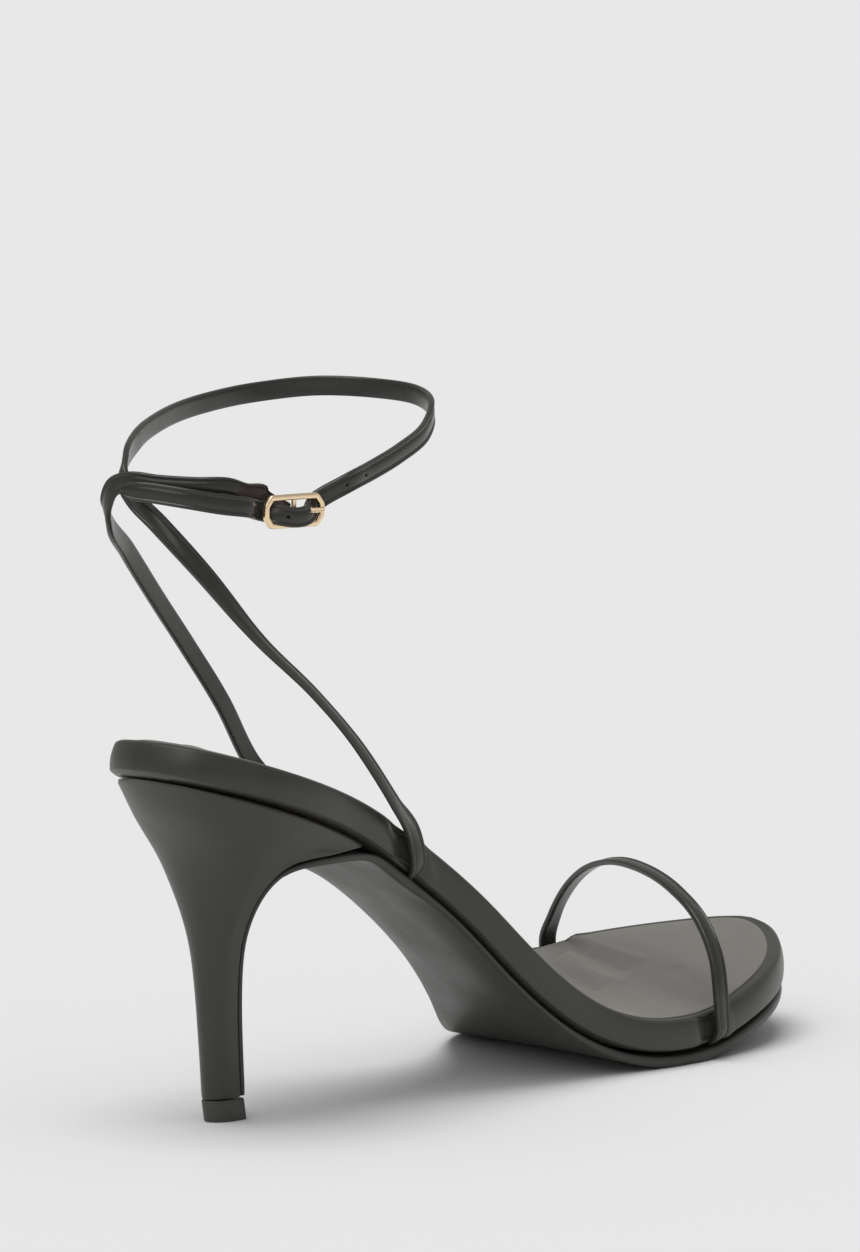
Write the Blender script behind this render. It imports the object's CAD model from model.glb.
"""Looks of a strappy heeled sandal, the right shoe, round its packed construction.

Lengths are in metres in the shoe's own frame: +X to the toe, +Y to its inner side, +Z up.
"""
import math

import bmesh
import bpy
import numpy as np
from mathutils import Matrix, Vector


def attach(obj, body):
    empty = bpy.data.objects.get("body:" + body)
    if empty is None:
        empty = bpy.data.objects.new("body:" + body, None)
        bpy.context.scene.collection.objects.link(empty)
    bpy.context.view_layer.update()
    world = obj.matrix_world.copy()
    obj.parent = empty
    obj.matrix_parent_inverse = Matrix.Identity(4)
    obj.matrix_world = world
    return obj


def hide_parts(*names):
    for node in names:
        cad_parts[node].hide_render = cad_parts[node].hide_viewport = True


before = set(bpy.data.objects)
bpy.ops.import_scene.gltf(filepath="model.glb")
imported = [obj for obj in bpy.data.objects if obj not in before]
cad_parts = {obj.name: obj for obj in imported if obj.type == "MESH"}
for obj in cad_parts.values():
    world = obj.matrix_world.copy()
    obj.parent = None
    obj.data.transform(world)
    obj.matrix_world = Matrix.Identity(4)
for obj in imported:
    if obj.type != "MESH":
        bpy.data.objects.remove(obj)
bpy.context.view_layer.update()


# Footbed
# An insole board with a thin layer of foam, wrapped in one sheet of charcoal faux leather.
# The sheet is pulled round the edge and glued underneath, so the upper edge is soft, and
# the tucked lower edge leaves a groove above the heel and the outsole.

FOOTBED_LENGTH = 0.232      # back of the seat to the toe, measured level
SEAT_SETBACK = 0.033        # back of the seat to the middle of the heel tip
BALL_WIDTH = 0.078
HEEL_RISE = 0.068           # climb of the footbed's underside, tread to heel tip
FOOTBED_THICKNESS = 0.0082
OUTSOLE_THICKNESS = 0.0025
CLEARANCE = 0.0003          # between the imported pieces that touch

# along is a share of FOOTBED_LENGTH, lateral and medial of BALL_WIDTH, the rises of HEEL_RISE
SOLE = np.array([
    # along, lateral, medial, lateral_rise, medial_rise
    (0.000, 0.325, 0.215, 1.165, 1.165),
    (0.150, 0.352, 0.235, 1.000, 1.005),
    (0.224, 0.315, 0.238, 0.907, 0.920),
    (0.306, 0.292, 0.224, 0.756, 0.795),
    (0.388, 0.312, 0.208, 0.551, 0.640),
    (0.470, 0.330, 0.212, 0.303, 0.435),
    (0.552, 0.345, 0.288, 0.116, 0.222),
    (0.634, 0.376, 0.445, 0.016, 0.070),
    (0.677, 0.388, 0.525, 0.000, 0.016),
    (0.716, 0.391, 0.570, 0.000, 0.000),
    (0.750, 0.388, 0.600, 0.012, 0.012),
    (0.819, 0.362, 0.622, 0.070, 0.073),
    (0.900, 0.300, 0.570, 0.125, 0.130),
    (0.950, 0.240, 0.490, 0.155, 0.162),
    (1.000, 0.170, 0.400, 0.190, 0.200),
])
LATERAL, MEDIAL, LATERAL_RISE, MEDIAL_RISE = range(1, 5)     # the columns of SOLE after along
SIDE_INSET = (0.200, 0.060, 0.000, 0.012, 0.060, 0.165)     # of the thickness, from below up
SIDE_HEIGHT = (0.00, 0.16, 0.42, 0.74, 0.93, 1.00)
LATERAL_ANCHOR, MEDIAL_ANCHOR = 0.324, 0.365                # where the ankle straps are let in
TOE_LATERAL_ANCHOR, TOE_MEDIAL_ANCHOR = 0.745, 0.871
ANCHOR_RAKE = 0.0082        # how far an ankle strap leans back on its way up the side
GROOVE = 0.0007             # how far the wrap's tucked edge is drawn up
TUCKED_BELOW = 0.05         # of the thickness: the rings below it are tucked
FLAT_UNDER = -0.8           # a face that turns down further than this is the underside


def linear(hex_colour):
    """A #rrggbb colour as linear light, with alpha."""
    parts = [int(hex_colour[i:i + 2], 16) / 255 for i in (1, 3, 5)]
    return [c / 12.92 if c <= 0.04045 else ((c + 0.055) / 1.055) ** 2.4 for c in parts] + [1.0]


def add(tree, kind, inputs=None, **settings):
    """Adds a shader node with its settings, and with values or links into its sockets."""
    node = tree.nodes.new(kind)
    for key, value in settings.items():
        setattr(node, key, value)
    for socket, value in (inputs or {}).items():
        if isinstance(value, bpy.types.NodeSocket):
            tree.links.new(value, node.inputs[socket])
        else:
            node.inputs[socket].default_value = value
    return node


def new_material(name):
    """A new material, its node tree and Principled shader, and the object's own coordinates."""
    finish = bpy.data.materials.new(name)
    finish.use_nodes = True
    tree = finish.node_tree
    return finish, tree, tree.nodes["Principled BSDF"], add(tree, "ShaderNodeTexCoord").outputs["Object"]


def faux_leather(name, colour, worn_colour, roughness, sheen, raw_colour="#3a2c2b"):
    """Polyurethane-coated cloth, embossed with a very fine grain and buffed to a satin.

    The eye sees a dark, slightly warm grey with broad soft highlights, faint cloudy changes
    of tone about 10 mm across, a pale sheen where it is seen flat on edge, and shallow
    unevenness where it was pulled over the board. Its grain is 0.45 mm wide. Where the
    raw_fold attribute is 1, it is crumpled and dull and takes its raw colour.
    """
    finish, tree, shader, place = new_material(name)
    cloud = add(tree, "ShaderNodeTexNoise", {"Vector": place, "Scale": 1 / 0.010, "Detail": 4.0,
                                             "Roughness": 0.6})
    tone = add(tree, "ShaderNodeMix", {0: cloud.outputs["Fac"], 6: linear(colour),
                                       7: linear(worn_colour)}, data_type="RGBA")
    raw = add(tree, "ShaderNodeAttribute", attribute_name="raw_fold").outputs["Fac"]
    folded = add(tree, "ShaderNodeMix", {0: raw, 6: tone.outputs[2], 7: linear(raw_colour)},
                 data_type="RGBA")
    tree.links.new(folded.outputs[2], shader.inputs["Base Color"])
    buffed = add(tree, "ShaderNodeMapRange", {"Value": cloud.outputs["Fac"], "From Min": 0.3,
                                              "From Max": 0.7, "To Min": roughness - 0.04,
                                              "To Max": roughness + 0.05})
    scuffed = add(tree, "ShaderNodeMath", {0: raw, 1: 0.35, 2: buffed.outputs["Result"]},
                  operation="MULTIPLY_ADD")
    tree.links.new(scuffed.outputs["Value"], shader.inputs["Roughness"])
    pores = add(tree, "ShaderNodeTexVoronoi", {"Vector": place, "Scale": 1 / 0.00045},
                feature="DISTANCE_TO_EDGE")
    fine = add(tree, "ShaderNodeBump", {"Height": pores.outputs["Distance"], "Strength": 0.35,
                                        "Distance": 0.00003})
    pulled = add(tree, "ShaderNodeTexNoise", {"Vector": place, "Scale": 1 / 0.006, "Detail": 2.0})
    broad = add(tree, "ShaderNodeBump", {"Height": pulled.outputs["Fac"], "Strength": 0.5,
                                         "Distance": 0.00015, "Normal": fine.outputs["Normal"]})
    crumpled = add(tree, "ShaderNodeTexNoise", {"Vector": place, "Scale": 1 / 0.0009, "Detail": 3.0})
    crumple = add(tree, "ShaderNodeMath", {0: crumpled.outputs["Fac"], 1: raw}, operation="MULTIPLY")
    rough = add(tree, "ShaderNodeBump", {"Height": crumple.outputs["Value"], "Strength": 0.9,
                                         "Distance": 0.0005, "Normal": broad.outputs["Normal"]})
    tree.links.new(rough.outputs["Normal"], shader.inputs["Normal"])
    shader.inputs["IOR"].default_value = 1.5
    shader.inputs["Sheen Weight"].default_value = sheen
    shader.inputs["Sheen Roughness"].default_value = 0.4
    shader.inputs["Sheen Tint"].default_value = linear("#b6b0a6")
    return finish


def follow(table, column, share):
    """A smooth curve through one column of a table, read at shares of the first."""
    knots, values = table[:, 0], table[:, column]
    slopes = np.gradient(values, knots)
    i = np.clip(np.searchsorted(knots, share) - 1, 0, len(knots) - 2)
    step = knots[i + 1] - knots[i]
    t = (share - knots[i]) / step
    inside = ((2 * t**3 - 3 * t**2 + 1) * values[i] + (t**3 - 2 * t**2 + t) * step * slopes[i]
              + (3 * t**2 - 2 * t**3) * values[i + 1] + (t**3 - t**2) * step * slopes[i + 1])
    before = values[0] + slopes[0] * (share - knots[0])
    after = values[-1] + slopes[-1] * (share - knots[-1])
    return np.where(t < 0, before, np.where(t > 1, after, inside))


def edges(x):
    """The footbed's lateral and medial edges."""
    share = (x + SEAT_SETBACK) / FOOTBED_LENGTH
    return -follow(SOLE, LATERAL, share) * BALL_WIDTH, follow(SOLE, MEDIAL, share) * BALL_WIDTH


def underside(x, y):
    """Height of the footbed's underside."""
    share = (x + SEAT_SETBACK) / FOOTBED_LENGTH
    lateral, medial = edges(x)
    low = max(follow(SOLE, LATERAL_RISE, share), 0.0)
    high = max(follow(SOLE, MEDIAL_RISE, share), 0.0)
    t = (y - lateral) / (medial - lateral)
    return OUTSOLE_THICKNESS + CLEARANCE + HEEL_RISE * (low + (high - low) * t)


def way_up(x, y):
    """The way square to the footbed's underside."""
    step = 0.002
    dx = (underside(x + step, y) - underside(x - step, y)) / (2 * step)
    dy = (underside(x, y + step) - underside(x, y - step)) / (2 * step)
    return np.array([-dx, -dy, 1.0]) / math.sqrt(dx * dx + dy * dy + 1)


def wall_point(share, side, height, out):
    """A point off the footbed's side, and the way out of it. side is -1 or 1."""
    x = share * FOOTBED_LENGTH - SEAT_SETBACK
    edge = edges(x)[0 if side < 0 else 1]
    slope = (edges(x + 0.001)[0 if side < 0 else 1] - edge) / 0.001
    way = np.array([-slope, 1.0, 0.0]) * side / math.hypot(slope, 1)
    y = edge - side * np.interp(height, SIDE_HEIGHT, SIDE_INSET) * FOOTBED_THICKNESS
    foot = np.array([x, y, underside(x, y)])
    return foot + way_up(x, y) * height * FOOTBED_THICKNESS + way * out, way


def start_from(node, name):
    """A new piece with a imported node's form, merged, back in quads and open in edit mode."""
    bpy.ops.object.select_all(action="DESELECT")
    piece = bpy.data.objects.new(name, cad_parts[node].data.copy())
    bpy.context.scene.collection.objects.link(piece)
    bpy.context.view_layer.objects.active = piece
    piece.select_set(True)
    piece.data.materials.clear()
    bpy.ops.object.mode_set(mode="EDIT")
    bpy.ops.mesh.select_all(action="SELECT")
    bpy.ops.mesh.customdata_custom_splitnormals_clear()
    bpy.ops.mesh.remove_doubles(threshold=0.000001)
    bpy.ops.mesh.mark_sharp(clear=True)
    bpy.ops.mesh.tris_convert_to_quads(face_threshold=math.radians(45),
                                       shape_threshold=math.radians(60))
    return piece


def hold_edges(sharper_than, crease):
    """Creases the open piece's sharp edges, so that subdivision rounds them less."""
    bpy.ops.mesh.select_mode(type="EDGE")
    bpy.ops.mesh.select_all(action="DESELECT")
    bpy.ops.mesh.edges_select_sharp(sharpness=math.radians(sharper_than))
    bpy.ops.transform.edge_crease(value=crease)
    bpy.ops.mesh.select_mode(type="VERT")


def subdivide(piece, levels):
    """A Subdivision Surface modifier on the piece, applied."""
    bpy.ops.object.mode_set(mode="OBJECT")
    bpy.ops.object.modifier_add(type="SUBSURF")
    modifier = piece.modifiers[-1]
    modifier.levels = modifier.render_levels = levels
    bpy.ops.object.modifier_apply(modifier=modifier.name)
    bpy.ops.object.shade_smooth()


def press(piece, route, width, depth, facing):
    """Moves the surface in along a route, as a soft trough, or out where depth is below 0.

    Distance from the route is measured square to facing, and only what faces it moves.
    """
    facing = np.array(facing, float)
    count = len(piece.data.vertices)
    places, normals = np.empty(count * 3), np.empty(count * 3)
    piece.data.vertices.foreach_get("co", places)
    piece.data.vertices.foreach_get("normal", normals)
    places, normals = places.reshape(-1, 3), normals.reshape(-1, 3)
    route = np.array(route, float)
    route -= np.outer(route @ facing, facing)
    flat = places - np.outer(places @ facing, facing)
    near = np.full(count, np.inf)
    for start, end in zip(route, route[1:]):
        run = end - start
        t = np.clip((flat - start) @ run / (run @ run), 0, 1)
        near = np.minimum(near, np.linalg.norm(flat - start - np.outer(t, run), axis=1))
    turned = np.clip(normals @ facing / 0.5, 0, 1)
    places -= normals * (depth * np.exp(-(near / width) ** 2) * turned)[:, None]
    piece.data.vertices.foreach_set("co", places.ravel())
    piece.data.update()


def hand_in(piece, material, slot, *nodes):
    """Gives the piece its material, and says which nodes it stands for."""
    piece.data.materials.clear()
    piece.data.materials.append(material)
    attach(piece, "root")
    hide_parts(*nodes)


wrap_leather = faux_leather("pu_leather_wrap", "#2d2c27", "#383731", 0.38, 0.12)
footbed = start_from("footbed", "wrapped_footbed")
mesh = bmesh.from_edit_mesh(footbed.data)
for vertex in mesh.verts:
    up = Vector(way_up(vertex.co.x, vertex.co.y))
    low = (vertex.co.z - underside(vertex.co.x, vertex.co.y)) * up.z < TUCKED_BELOW * FOOTBED_THICKNESS
    if low and any(face.normal.dot(up) > FLAT_UNDER for face in vertex.link_faces):
        vertex.co += up * GROOVE
bmesh.update_edit_mesh(footbed.data)
hold_edges(25, 0.7)
subdivide(footbed, 3)

# The wrap sinks behind each strap's end and bulges in front of it
STRAP_DENTS = (
    # place beside the strap, width, depth
    (-0.0034, 0.0032, 0.0015),
    (0.0036, 0.0017, -0.0004),
)
for beside, dent_width, dent in STRAP_DENTS:
    for anchor, side, rake in ((LATERAL_ANCHOR, -1, ANCHOR_RAKE), (MEDIAL_ANCHOR, 1, ANCHOR_RAKE),
                               (TOE_LATERAL_ANCHOR, -1, 0), (TOE_MEDIAL_ANCHOR, 1, 0)):
        spots = [wall_point(anchor + (beside - rake * h) / FOOTBED_LENGTH, side, h, 0)[0]
                 for h in (0.1, 0.5, 0.95)]
        press(footbed, spots, dent_width, dent, (0, side, 0))

# Folds and ridges that the toe strap pulls into the footbed's top, six from its medial end
# and the last from its lateral end
TOE_FOLDS = (
    # width, depth, route
    (0.0032, 0.0013, ((0.166, 0.043, 0), (0.158, 0.037, 0), (0.149, 0.035, 0))),
    (0.0016, 0.0012, ((0.151, 0.031, 0), (0.146, 0.022, 0), (0.1405, 0.009, 0))),
    (0.0018, -0.0009, ((0.155, 0.030, 0), (0.1495, 0.021, 0), (0.145, 0.007, 0))),
    (0.0015, 0.0007, ((0.166, 0.041, 0), (0.158, 0.027, 0), (0.152, 0.010, 0))),
    (0.0017, -0.0007, ((0.168, 0.040, 0), (0.163, 0.026, 0), (0.159, 0.012, 0))),
    (0.0024, -0.0006, ((0.148, 0.041, 0), (0.139, 0.033, 0), (0.133, 0.024, 0))),
    (0.0018, 0.0004, ((0.141, -0.024, 0), (0.150, -0.014, 0), (0.156, -0.002, 0))),
)
# The padding lifts the seat's top along its inner side
SEAT_SWELL = (0.0100, -0.0036, ((0.002, 0.012, 0), (0.018, 0.013, 0), (0.038, 0.012, 0)))
for fold_width, fold, route in TOE_FOLDS + (SEAT_SWELL,):
    press(footbed, route, fold_width, fold, (0, 0, 1))
hand_in(footbed, wrap_leather, "wrapped_leather", "footbed")


# Insole
# A thin sock of the same faux leather over foam, cut 3.6 mm inside the edge and glued down.
# It thins out to its cut edge, so that only a fine line shows there.

SOCK_EDGE_DROP = (0.00040, 0.00058)     # its edge's lower and upper ring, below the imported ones
STEEP, LEVEL = 0.35, 0.88               # how far up the faces of its edge's slope are turned

insole_leather = faux_leather("pu_leather_sock", "#6a6862", "#767470", 0.46, 0.8)
insole = start_from("insole", "sock_lining")
mesh = bmesh.from_edit_mesh(insole.data)
rise = {}
for face in mesh.faces:
    middle = face.calc_center_median()
    rise[face] = np.dot(face.normal, way_up(middle.x, middle.y))
for vertex in mesh.verts:
    around = [rise[face] for face in vertex.link_faces]
    drop = CLEARANCE
    if any(STEEP < r < LEVEL for r in around):
        drop += SOCK_EDGE_DROP[0 if min(around) < STEEP else 1]
    vertex.co -= Vector(way_up(vertex.co.x, vertex.co.y) * drop)
bmesh.update_edit_mesh(insole.data)
hold_edges(60, 0.6)
subdivide(insole, 3)
for fold_width, fold, route in TOE_FOLDS + (SEAT_SWELL,):
    press(insole, route, fold_width, fold, (0, 0, 1))
hand_in(insole, insole_leather, "sock_lining", "insole")


# Heel
# A moulded heel wrapped in the same faux leather, its rim set under the footbed. Its rim,
# its foot and the edges of its breast are crisp.

heel = start_from("heel", "wrapped_heel")
hold_edges(42, 0.75)
subdivide(heel, 3)
hand_in(heel, wrap_leather, "wrapped_leather", "heel")


# Heel tip
# A moulded polyurethane top piece, pinned up into the stem.

def moulded_rubber(name, colour, roughness):
    """Moulded polyurethane, matt and faintly mottled by its mould."""
    finish, tree, shader, place = new_material(name)
    mottle = add(tree, "ShaderNodeTexNoise", {"Vector": place, "Scale": 1 / 0.0012, "Detail": 4.0})
    skin = add(tree, "ShaderNodeBump", {"Height": mottle.outputs["Fac"], "Strength": 0.3,
                                        "Distance": 0.00003})
    tree.links.new(skin.outputs["Normal"], shader.inputs["Normal"])
    shader.inputs["Base Color"].default_value = linear(colour)
    shader.inputs["Roughness"].default_value = roughness
    return finish


tip_rubber = moulded_rubber("moulded_polyurethane", "#403f3a", 0.45)
heel_tip = start_from("heel_tip", "heel_top_piece")
bpy.ops.object.mode_set(mode="OBJECT")
bpy.ops.object.shade_smooth_by_angle(angle=math.radians(40))
hand_in(heel_tip, tip_rubber, "outsole_rubber", "heel_tip")


# Outsole
# A thin sheet of satin soling, glued under the footbed and drawn on down the heel's breast.

sole_sheet = faux_leather("soling_sheet", "#2b2a26", "#34332e", 0.42, 0.08)
WAIST_SKIVE = 0.0016        # how far its lower edge is drawn up at the waist
WAIST = (0.040, 0.085, 0.115)       # from the heel's breast, to where the skive fades and ends
outsole = start_from("outsole", "outsole_sheet")
mesh = bmesh.from_edit_mesh(outsole.data)
for vertex in mesh.verts:
    up = Vector(way_up(vertex.co.x, vertex.co.y))
    low = (vertex.co.z - underside(vertex.co.x, vertex.co.y)) * up.z < -0.6 * OUTSOLE_THICKNESS
    edge = any(abs(face.normal.dot(up)) < 0.5 for face in vertex.link_faces)
    if low and edge and vertex.co.x > WAIST[0]:
        vertex.co += up * WAIST_SKIVE * float(np.interp(vertex.co.x, WAIST[1:], (1, 0)))
bmesh.update_edit_mesh(outsole.data)
hold_edges(42, 0.8)
subdivide(outsole, 2)
hand_in(outsole, sole_sheet, "outsole_rubber", "outsole")


# Toe strap
# A narrow strip of the same faux leather, folded over a cord at each edge, let into both
# sides of the footbed. It is modelled straight, then laid along its route.

STRAP_WIDTH = 0.0046
STRAP_THICKNESS = 0.0015
TOE_STRAP_RISE = 0.026
TOE_STRAP_LEAN = 1.3
TOE_STRAP = (
    # across, height
    (-0.012, 0.18),
    (0.010, 0.45),
    (0.090, 0.73),
    (0.250, 0.93),
    (0.450, 1.00),
    (0.620, 0.95),
    (0.760, 0.80),
    (0.890, 0.52),
    (0.972, 0.22),
)
# A strap's end on the footbed's side: height, of its thickness, and the strap's distance out
STRAP_END = ((0.05, -0.0014), (0.22, -0.0003), (0.45, 0.0005), (0.86, 0.0010))
STATION = 0.001125          # between a strap's sections
# The right half of a strap's section, from its front's middle round to its back's middle
HALF_SECTION = (
    # across, out
    (0.00000, 0.00070),
    (0.00062, 0.00069),
    (0.00110, 0.00056),
    (0.00134, 0.00034),
    (0.00154, 0.00058),
    (0.00180, 0.00078),
    (0.00208, 0.00068),
    (0.00226, 0.00040),
    (0.00230, 0.00000),
    (0.00224, -0.00044),
    (0.00200, -0.00070),
    (0.00120, -0.00074),
    (0.00000, -0.00074),
)


def straight_strip(name, section, lengths):
    """A straight strip from X = 0, its section extruded in even steps over each length."""
    bpy.ops.object.select_all(action="DESELECT")
    bpy.ops.mesh.primitive_circle_add(vertices=len(section), radius=STRAP_WIDTH / 2,
                                      fill_type="NGON", location=(0, 0, 0))
    strip = bpy.context.object
    strip.name = name
    for vertex, (across, out) in zip(strip.data.vertices, section):
        vertex.co = (0, across, out)
    bpy.ops.object.mode_set(mode="EDIT")
    bpy.ops.mesh.select_all(action="SELECT")
    for length in lengths:
        steps = max(round(length / STATION), 1)
        bpy.ops.mesh.extrude_repeat(steps=steps, offset=(length / steps, 0, 0))
    return strip


def straight_strap(name, lengths):
    """A straight strip with a strap's section, corded at both edges."""
    left = [(-across, out) for across, out in HALF_SECTION[-2:0:-1]]
    return straight_strip(name, list(HALF_SECTION) + left, lengths)


def route_table(points, ways):
    """A table of a route's length, its points and its ways out."""
    points, ways = np.array(points, float), np.array(ways, float)
    chords = np.linalg.norm(np.diff(points, axis=0), axis=1)
    return np.column_stack([np.concatenate([[0], np.cumsum(chords)]), points, ways])


def lay(strip, table, shape):
    """Lays a straight strip along a route. shape gives its width and thickness on the way.

    Rows of shape are a length, a share of the width and a share of the thickness, which is
    taken off its front.
    """
    bpy.ops.mesh.select_all(action="SELECT")
    mesh = bmesh.from_edit_mesh(strip.data)
    places = np.array([vertex.co for vertex in mesh.verts])
    length, step = places[:, 0], STATION / 4
    shape = np.array(shape)
    width = np.interp(length, shape[:, 0], shape[:, 1])
    thickness = np.interp(length, shape[:, 0], shape[:, 2])
    half = STRAP_THICKNESS / 2

    def at(column, s):
        return np.column_stack([follow(table, column + k, s) for k in range(3)])

    along = at(1, length + step) - at(1, length - step)
    along /= np.linalg.norm(along, axis=1)[:, None]
    across = np.cross(along, at(4, length))
    across /= np.linalg.norm(across, axis=1)[:, None]
    out = np.cross(across, along)
    laid = (at(1, length) + across * (places[:, 1] * width)[:, None]
            + out * ((places[:, 2] + half) * thickness - half)[:, None])
    for vertex, place in zip(mesh.verts, laid):
        vertex.co = place
    bmesh.update_edit_mesh(strip.data)
    bpy.ops.mesh.normals_make_consistent(inside=False)


def strap_end(share, side, rake=0.0):
    """A strap's first points, out of the groove and up the footbed's side, and ways out."""
    spots = [wall_point(share - rake / FOOTBED_LENGTH * h, side, h, out) for h, out in STRAP_END]
    return [spot for spot, way in spots], [way for spot, way in spots]


strap_leather = faux_leather("pu_leather_strap", "#272622", "#31302b", 0.26, 0.16)
toe_points, toe_ways = strap_end(TOE_LATERAL_ANCHOR, -1)
last_points, last_ways = strap_end(TOE_MEDIAL_ANCHOR, 1)
low = wall_point(TOE_LATERAL_ANCHOR, -1, 1.0, CLEARANCE + STRAP_THICKNESS / 2)[0]
high = wall_point(TOE_MEDIAL_ANCHOR, 1, 1.0, CLEARANCE + STRAP_THICKNESS / 2)[0]
for across, height in TOE_STRAP:
    point = low + (high - low) * across + np.array([0, 0, TOE_STRAP_RISE * height])
    lean = point - (low + high) / 2
    toe_points.append(point)
    toe_ways.append(np.array([0, lean[1], TOE_STRAP_LEAN * lean[2]]) / np.hypot(lean[1], lean[2]))
toe_route = route_table(toe_points + last_points[::-1], toe_ways + last_ways[::-1])
toe_length = toe_route[-1, 0]
toe_strap = straight_strap("toe_strap_folded", [toe_length])
lay(toe_strap, toe_route, ((0, 1, 0.7), (0.004, 1, 1), (toe_length - 0.004, 1, 1), (toe_length, 1, 0.7)))
subdivide(toe_strap, 1)
hand_in(toe_strap, strap_leather, "wrapped_leather", "toe_strap")


# Ankle straps
# Two more straps of the same make. The outer one goes behind the ankle, round it and
# through the buckle, with punched holes and a pointed end. The inner one crosses it behind
# the ankle and ends in a rough fold, from which a narrow tab goes round the buckle's bar.

CROSSING_HEIGHT = 0.058
LATERAL_STRAP = (
    # along, across, climb, lean
    (0.268, -0.340, 0.144, 0.75),
    (0.205, -0.346, 0.322, 1.15),
    (0.148, -0.346, 0.452, 1.35),
    (0.075, -0.327, 0.605, 1.10),
    (0.018, -0.256, 0.786, 0.22),
    (0.002, -0.137, 0.897, 0.00),
    (-0.001, -0.046, 0.960, 0.00),
    (-0.003, -0.016, 1.000, 0.00),
    (0.013, 0.019, 1.032, 0.00),
    (0.060, 0.103, 1.074, 0.00),
    (0.125, 0.197, 1.101, 0.00),
    (0.228, 0.290, 1.124, 0.00),
    (0.306, 0.290, 1.137, 0.00),
    (0.355, 0.199, 1.148, 0.00),
    (0.385, 0.046, 1.145, 0.00),
    (0.388, -0.105, 1.136, 0.00),
    (0.366, -0.222, 1.115, 0.00),
    (0.328, -0.300, 1.070, 0.00),
    (0.267, -0.358, 1.028, 0.00),
    (0.215, -0.388, 0.998, 0.00),
    (0.172, -0.404, 0.974, 0.00),
)
FREE_END = (
    (0.057, -0.338, 0.936, 0.00),
    (0.035, -0.305, 0.945, 0.00),
    (0.007, -0.236, 0.962, 0.00),
    (-0.010, -0.154, 0.974, 0.00),
    (-0.023, -0.060, 0.979, 0.00),
)
MEDIAL_STRAP = (
    (0.290, 0.278, 0.215, 0.00),
    (0.245, 0.269, 0.371, 0.00),
    (0.190, 0.256, 0.526, 0.00),
    (0.132, 0.218, 0.660, 0.00),
    (0.063, 0.147, 0.801, 0.00),
    (0.006, 0.062, 0.894, 0.00),
    (-0.009, 0.030, 0.939, 0.00),
    (-0.010, 0.002, 0.980, 0.00),
    (-0.007, -0.046, 0.995, 0.00),
    (0.006, -0.131, 0.990, 0.00),
    (0.026, -0.222, 0.986, 0.00),
    (0.048, -0.282, 0.984, 0.00),
)
BUCKLE_SPOT = (0.111, -0.366, 0.918)
ANKLE_AXIS = (0.045, 0.310, -0.035)     # the ankle's middle: along from, to, across
BUCKLE_LENGTH, BUCKLE_WIDTH, BUCKLE_WIRE = 0.0166, 0.0075, 0.0013
BUCKLE_TURN = 0.135         # radians, its front end down, against the strap's own way
BAR_WIRE, PRONG_WIRE = 0.0011, 0.0009
SIDE_BAR = (BUCKLE_LENGTH - BUCKLE_WIRE) / 2
# The outer strap at the buckle: along, of SIDE_BAR, over, 1 on the bar and 0 behind, and
# how far above the frame's middle
THROUGH_BUCKLE = (
    (1.09, 0.00, 0.0018),
    (0.91, 0.00, 0.0010),
    (0.66, 0.50, 0.0003),
    (0.40, 0.95, -0.0008),
    (0.00, 1.10, -0.0013),
    (-0.40, 0.95, -0.0010),
    (-0.66, 0.55, -0.0005),
    (-0.91, 0.00, 0.0001),
    (-1.09, 0.00, 0.0004),
)
PRONG_HOLE = 0.52           # where the prong comes out of the strap, of SIDE_BAR
HOLE_PITCH = 6              # sections between the punched holes, 6.75 mm
HOLE_RADIUS = 0.00042
WORN_RADIUS = 1.1 * HOLE_RADIUS     # of the prong's hole and of the one over the frame
SUNK_SHARE = 0.7            # how deep a hole is that isn't punched through, of the strap


def edge_height(share, side):
    """Height of the footbed's upper edge, on the side that is -1 or 1."""
    return wall_point(share, side, 1.0, 0)[0][2]


def ankle_point(row, anchor_height):
    """A row's place: its climb is 0 at the strap's end and 1 at the crossing's height."""
    along, across, climb = row[:3]
    top = underside(-SEAT_SETBACK, 0) + FOOTBED_THICKNESS + CROSSING_HEIGHT
    return np.array([along * FOOTBED_LENGTH - SEAT_SETBACK, across * BALL_WIDTH,
                     anchor_height + (top - anchor_height) * climb])


def ankle_way(point, lean):
    """The way out of the ankle at a point, level where lean is 0."""
    start, end, across = ANKLE_AXIS
    low, high = (share * FOOTBED_LENGTH - SEAT_SETBACK for share in (start, end))
    way = point - np.array([min(max(point[0], low), high), across * BALL_WIDTH, point[2]])
    way = way / np.linalg.norm(way) + np.array([0, 0, lean])
    return way / np.linalg.norm(way)


lateral_height = edge_height(LATERAL_ANCHOR, -1)
buckle_spot = ankle_point(BUCKLE_SPOT, lateral_height)
buckle_along = ankle_point(LATERAL_STRAP[-1], lateral_height) - ankle_point(FREE_END[0], lateral_height)
buckle_along /= np.linalg.norm(buckle_along)
buckle_out = np.cross(buckle_along, (0, 0, 1))
buckle_out /= np.linalg.norm(buckle_out)
buckle_along -= np.cross(buckle_out, buckle_along) * math.tan(BUCKLE_TURN)
buckle_along /= np.linalg.norm(buckle_along)
buckle_across = np.cross(buckle_out, buckle_along)


def at_buckle(along, out, across=0.0):
    """A point in the buckle's own axes."""
    return buckle_spot + buckle_along * along + buckle_out * out + buckle_across * across


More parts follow.
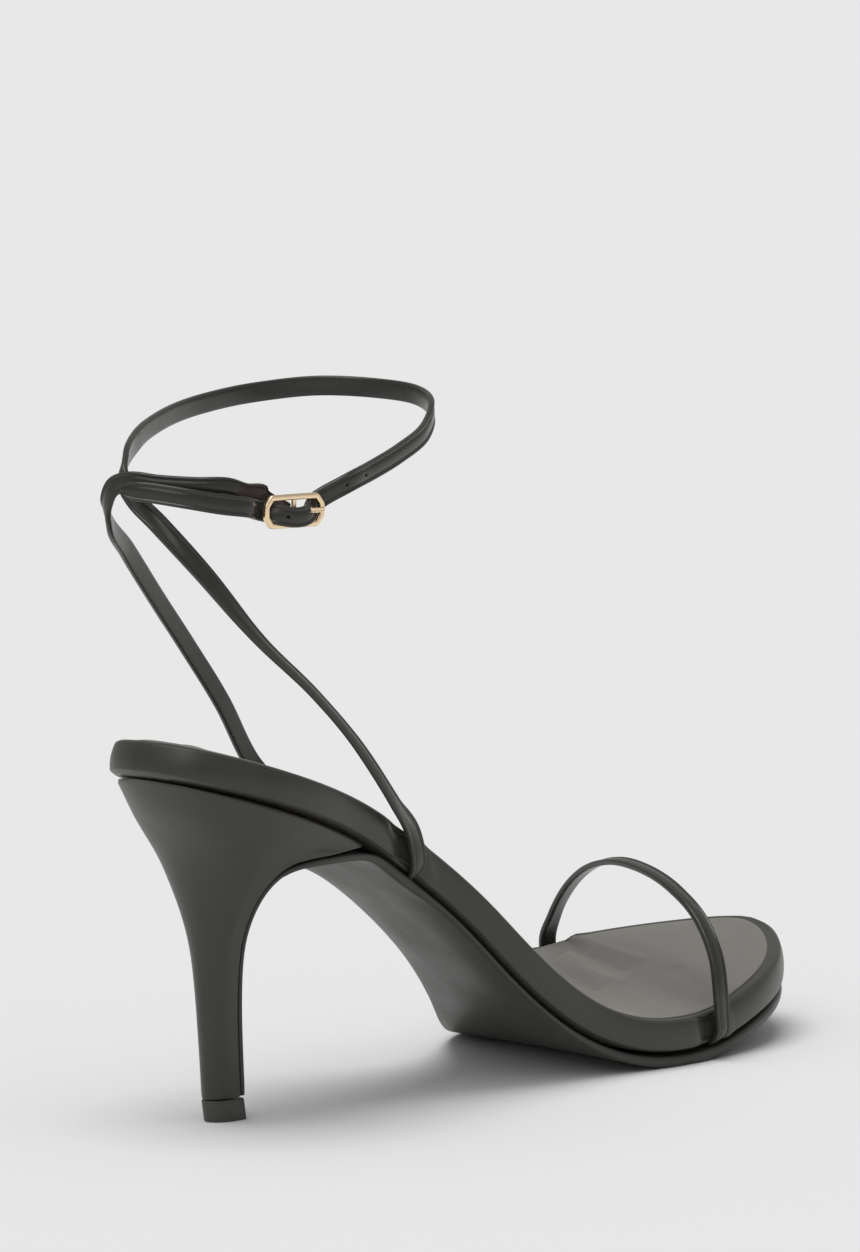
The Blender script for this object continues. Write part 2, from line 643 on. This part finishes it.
def punch(strip, length, radius, through=True):
    """A round hole in a straight strap, at the section nearest a length along it.

    It goes through the strap, or where through is False it is only sunk into the front.
    """
    mesh = bmesh.from_edit_mesh(strip.data)
    middle = [v for v in mesh.verts if abs(v.co.y) < 1e-6 and (through or v.co.z > 0)]
    section = min((v.co.x for v in middle), key=lambda x: abs(x - length))
    bpy.ops.mesh.select_all(action="DESELECT")
    for vertex in middle:
        vertex.select_set(abs(vertex.co.x - section) < 1e-6)
    mesh.select_flush_mode()
    bmesh.update_edit_mesh(strip.data)
    bpy.ops.mesh.bevel(offset=radius, segments=2, affect="VERTICES")
    if not through:
        sunk = (0, 0, -SUNK_SHARE * STRAP_THICKNESS)
        bpy.ops.mesh.extrude_region_move(TRANSFORM_OT_translate={"value": sunk})
        return
    bpy.ops.mesh.delete(type="FACE")
    bpy.ops.mesh.select_mode(type="EDGE")
    mesh = bmesh.from_edit_mesh(strip.data)
    for edge in mesh.edges:
        edge.select_set(edge.is_boundary)
    bmesh.update_edit_mesh(strip.data)
    bpy.ops.mesh.bridge_edge_loops()
    bpy.ops.mesh.select_mode(type="VERT")


outer_points, outer_ways = strap_end(LATERAL_ANCHOR, -1, ANCHOR_RAKE)
for row in LATERAL_STRAP:
    outer_points.append(ankle_point(row, lateral_height))
    outer_ways.append(ankle_way(outer_points[-1], row[3]))
under_frame = -(BUCKLE_WIRE / 2 + 2 * CLEARANCE + STRAP_THICKNESS / 2)
over_bar = BAR_WIRE / 2 + CLEARANCE + STRAP_THICKNESS / 2
for along, over, above in THROUGH_BUCKLE:
    out = under_frame + (over_bar - under_frame) * over
    outer_points.append(at_buckle(along * SIDE_BAR, out, above))
    outer_ways.append(buckle_out)
for row in FREE_END:
    outer_points.append(ankle_point(row, lateral_height))
    outer_ways.append(ankle_way(outer_points[-1], row[3]))
outer_route = route_table(outer_points, outer_ways)
outer_length = outer_route[-1, 0]
bar_row = len(outer_points) - len(FREE_END) - (len(THROUGH_BUCKLE) + 1) // 2
prong_at = outer_route[bar_row, 0] - PRONG_HOLE * SIDE_BAR

outer_strap = straight_strap("outer_ankle_strap", [prong_at, outer_length - prong_at])
bpy.ops.mesh.select_mode(type="VERT")
punch(outer_strap, prong_at, WORN_RADIUS)
for hole in (-3, -2, -1):
    punch(outer_strap, prong_at + hole * HOLE_PITCH * STATION, HOLE_RADIUS)
# The hole over the frame is only sunk, because light would show through it
punch(outer_strap, prong_at + HOLE_PITCH * STATION, WORN_RADIUS, through=False)
lay(outer_strap, outer_route, (
    (0, 1, 0.7),
    (0.004, 1, 1),
    (outer_length - 0.0045, 1, 1),
    (outer_length - 0.0022, 0.82, 0.95),
    (outer_length - 0.0009, 0.52, 0.85),
    (outer_length, 0.26, 0.7),
))
subdivide(outer_strap, 1)
hand_in(outer_strap, strap_leather, "wrapped_leather", "ankle_straps")

TAB_WIDTH, TAB_LENGTH = 0.0032, 0.0073
FOLD_ROUGH = 0.009          # the inner strap's rough stretch before its fold
# The inner strap under the outer one: along, of SIDE_BAR, and how far above the frame's middle
UNDER_BUCKLE = ((-1.30, 0.0040), (-0.80, 0.0036), (-0.35, 0.0018))
medial_height = edge_height(MEDIAL_ANCHOR, 1)
inner_points, inner_ways = strap_end(MEDIAL_ANCHOR, 1, ANCHOR_RAKE)
for row in MEDIAL_STRAP:
    inner_points.append(ankle_point(row, medial_height))
    inner_ways.append(ankle_way(inner_points[-1], row[3]))
under_strap = -(BUCKLE_WIRE / 2 + 4 * CLEARANCE + 1.5 * STRAP_THICKNESS)
for along, above in UNDER_BUCKLE:
    inner_points.append(at_buckle(along * SIDE_BAR, under_strap, above))
    inner_ways.append(buckle_out)
inner_points.append(at_buckle(0.0, -over_bar))
inner_ways.append(buckle_out)
inner_route = route_table(inner_points, inner_ways)
inner_length = inner_route[-1, 0]
fold_at = inner_length - TAB_LENGTH

inner_strap = straight_strap("inner_ankle_strap", [inner_length])
raw = inner_strap.data
bpy.ops.object.mode_set(mode="OBJECT")
fold_share = raw.attributes.new("raw_fold", "FLOAT", "POINT")
for vertex, share in zip(raw.vertices, fold_share.data):
    share.value = float(np.interp(vertex.co.x, (fold_at - FOLD_ROUGH, fold_at - 0.6 * FOLD_ROUGH), (0, 1)))
bpy.ops.object.mode_set(mode="EDIT")
tab = TAB_WIDTH / STRAP_WIDTH
lay(inner_strap, inner_route, (
    (0, 1, 0.7),
    (0.004, 1, 1),
    (fold_at - FOLD_ROUGH, 1, 1),
    (fold_at - 0.0022, 1.03, 1.0),
    (fold_at - 0.0010, 1.12, 1.9),
    (fold_at, 1.10, 1.8),
    (fold_at + 0.0003, tab, 0.75),
    (inner_length, tab, 0.70),
))
subdivide(inner_strap, 1)
hand_in(inner_strap, strap_leather, "wrapped_leather", "ankle_straps")


# Buckle
# A small cast frame with cut corners and a bar across its middle, and a prong of shaped
# wire, all plated in pale gold and polished. The prong comes up through the strap's hole
# and rests on the frame's front end.

def plated(name, colour, roughness):
    """Pale gold plating on polished zinc: bright, warm, with soft broad reflections."""
    finish, tree, shader, place = new_material(name)
    ripple = add(tree, "ShaderNodeTexNoise", {"Vector": place, "Scale": 1 / 0.0016, "Detail": 2.0})
    polish = add(tree, "ShaderNodeBump", {"Height": ripple.outputs["Fac"], "Strength": 0.4,
                                          "Distance": 0.00004})
    worn = add(tree, "ShaderNodeMapRange", {"Value": ripple.outputs["Fac"], "To Min": roughness - 0.05,
                                            "To Max": roughness + 0.06})
    tree.links.new(worn.outputs["Result"], shader.inputs["Roughness"])
    tree.links.new(polish.outputs["Normal"], shader.inputs["Normal"])
    shader.inputs["Base Color"].default_value = linear(colour)
    shader.inputs["Metallic"].default_value = 1.0
    return finish


BUCKLE_DEPTH = 0.0013       # the frame's thickness, square to the strap
BUCKLE_CORNER = (0.0017, 0.0023)    # cut off each corner, along and across
CORNER_ROUND = 0.0006
EDGE_ROUND = 0.00032
gold = plated("pale_gold_plating", "#fde3bd", 0.28)
half_length, half_width = BUCKLE_LENGTH / 2, BUCKLE_WIDTH / 2
corners = [(half_length, half_width - BUCKLE_CORNER[1]), (half_length - BUCKLE_CORNER[0], half_width)]
corners += [(-x, y) for x, y in corners[::-1]]
corners += [(-x, -y) for x, y in corners]
bpy.ops.object.select_all(action="DESELECT")
bpy.ops.mesh.primitive_circle_add(vertices=len(corners), radius=half_length, fill_type="NGON",
                                  location=(0, 0, 0))
buckle_frame = bpy.context.object
buckle_frame.name = "cast_buckle_frame"
for vertex, (x, y) in zip(buckle_frame.data.vertices, corners):
    vertex.co = (x, y, 0)
bpy.ops.object.mode_set(mode="EDIT")
bpy.ops.mesh.select_all(action="SELECT")
bpy.ops.mesh.bevel(offset=CORNER_ROUND, segments=3, affect="VERTICES")
bpy.ops.mesh.select_all(action="SELECT")
bpy.ops.mesh.inset(thickness=BUCKLE_WIRE)
bpy.ops.mesh.delete(type="FACE")
bpy.ops.object.mode_set(mode="OBJECT")
bpy.ops.object.modifier_add(type="SOLIDIFY")
buckle_frame.modifiers[-1].thickness = BUCKLE_DEPTH
buckle_frame.modifiers[-1].offset = 0
bpy.ops.object.modifier_apply(modifier=buckle_frame.modifiers[-1].name)
bpy.ops.object.modifier_add(type="BEVEL")
buckle_frame.modifiers[-1].width = EDGE_ROUND
buckle_frame.modifiers[-1].segments = 3
bpy.ops.object.modifier_apply(modifier=buckle_frame.modifiers[-1].name)
bpy.ops.mesh.primitive_cylinder_add(vertices=24, radius=BAR_WIRE / 2, depth=BUCKLE_WIDTH - BUCKLE_WIRE,
                                    location=(0, 0, 0), rotation=(math.pi / 2, 0, 0))
buckle_frame.select_set(True)
bpy.context.view_layer.objects.active = buckle_frame
bpy.ops.object.join()
bpy.ops.object.shade_smooth_by_angle(angle=math.radians(32))
turned = Matrix([buckle_along, buckle_across, buckle_out]).transposed()
buckle_frame.data.transform(Matrix.Translation(buckle_spot) @ turned.to_4x4())
hand_in(buckle_frame, gold, "light_gold", "buckle_frame")

# The prong, from the bar to past the frame's end: along, and rise, of its height there
PRONG = ((0.00, 0.00), (0.20, 0.35), (0.44, 1.25), (0.62, 1.60), (0.80, 1.35), (1.00, 1.00), (1.06, 0.92))
# Its section, of PRONG_WIRE, with two ridges in front
PRONG_SECTION = ((0.0, 0.25), (0.35, 0.5), (0.62, 0.35), (0.7, 0.0), (0.5, -0.4), (0.0, -0.5), (-0.5, -0.4),
                 (-0.7, 0.0), (-0.62, 0.35), (-0.35, 0.5))
prong_start = BAR_WIRE / 2 + PRONG_WIRE / 2
prong_rest = BUCKLE_DEPTH / 2 + PRONG_WIRE / 2
prong_route = route_table(
    [at_buckle(prong_start + (SIDE_BAR - prong_start) * along, prong_rest * rise) for along, rise in PRONG],
    [buckle_out] * len(PRONG))
prong_length = prong_route[-1, 0]
prong_section = [(PRONG_WIRE * across, PRONG_WIRE * out) for across, out in PRONG_SECTION]
prong = straight_strip("drawn_wire_prong", prong_section, [prong_length])
lay(prong, prong_route, ((0, 1, 1), (0.8 * prong_length, 1, 1), (prong_length, 0.7, 0.8)))
subdivide(prong, 1)
hand_in(prong, gold, "light_gold", "buckle_prong")


# Floor, light and camera
# A pale seamless studio floor, lit by a pale sky, one broad soft light overhead and a
# weaker one from the front left.

bpy.ops.object.select_all(action="DESELECT")
bpy.ops.mesh.primitive_plane_add(size=40.0, location=(0.0, 0.0, 0.0))
floor = bpy.context.object
floor.name = "studio_floor"
paper = bpy.data.materials.new("seamless_paper")
paper.use_nodes = True
paper_shader = paper.node_tree.nodes["Principled BSDF"]
paper_shader.inputs["Base Color"].default_value = linear("#f1f1f1")
paper_shader.inputs["Roughness"].default_value = 0.9
paper_shader.inputs["Specular IOR Level"].default_value = 0.0
floor.data.materials.append(paper)

world = bpy.data.worlds.new("studio")
bpy.context.scene.world = world
world.use_nodes = True
world.node_tree.nodes["Background"].inputs["Color"].default_value = linear("#f6f6f6")
world.node_tree.nodes["Background"].inputs["Strength"].default_value = 0.42


def soft_light(name, towards, spread, power):
    """A broad soft light, the same all over the floor, shining towards a way."""
    bpy.ops.object.light_add(type="SUN", location=(0, 0, 2))
    lamp = bpy.context.object
    lamp.name = name
    lamp.data.angle = math.radians(spread)
    lamp.data.energy = power
    lamp.rotation_euler = Vector(towards).to_track_quat("-Z", "Y").to_euler()


soft_light("overhead", (0.15, -0.05, -1.0), 40, 1.42)
soft_light("front_left", (1.0, 0.35, -0.9), 35, 0.4)

VIEW_TURN = 0.831            # from +Y towards +X, radians
VIEW_DOWN = math.radians(6.95)
CAMERA_AWAY = 2.5727         # level, from the heel tip, along the view
CAMERA_ASIDE = -0.00738      # to its right
CAMERA_HEIGHT = 0.4257
LENS = 332.3                 # millimetres, on a 36 mm sensor
PAN = math.radians(1.21)     # turned right, so that the whole shoe is in the frame

camera_data = bpy.data.cameras.new("camera")
camera = bpy.data.objects.new("camera", camera_data)
bpy.context.scene.collection.objects.link(camera)
ahead = Vector((math.sin(VIEW_TURN), math.cos(VIEW_TURN), 0))
right = Vector((math.cos(VIEW_TURN), -math.sin(VIEW_TURN), 0))
camera.location = -ahead * CAMERA_AWAY + right * CAMERA_ASIDE + Vector((0, 0, CAMERA_HEIGHT))
gaze_turn = VIEW_TURN + PAN
gaze = Vector((math.sin(gaze_turn) * math.cos(VIEW_DOWN), math.cos(gaze_turn) * math.cos(VIEW_DOWN),
               -math.sin(VIEW_DOWN)))
camera.rotation_euler = gaze.to_track_quat("-Z", "Y").to_euler()
camera_data.lens = LENS
camera_data.sensor_width = 36
camera_data.clip_start, camera_data.clip_end = 0.1, 30
bpy.context.scene.camera = camera
bpy.context.scene.view_settings.view_transform = "Standard"
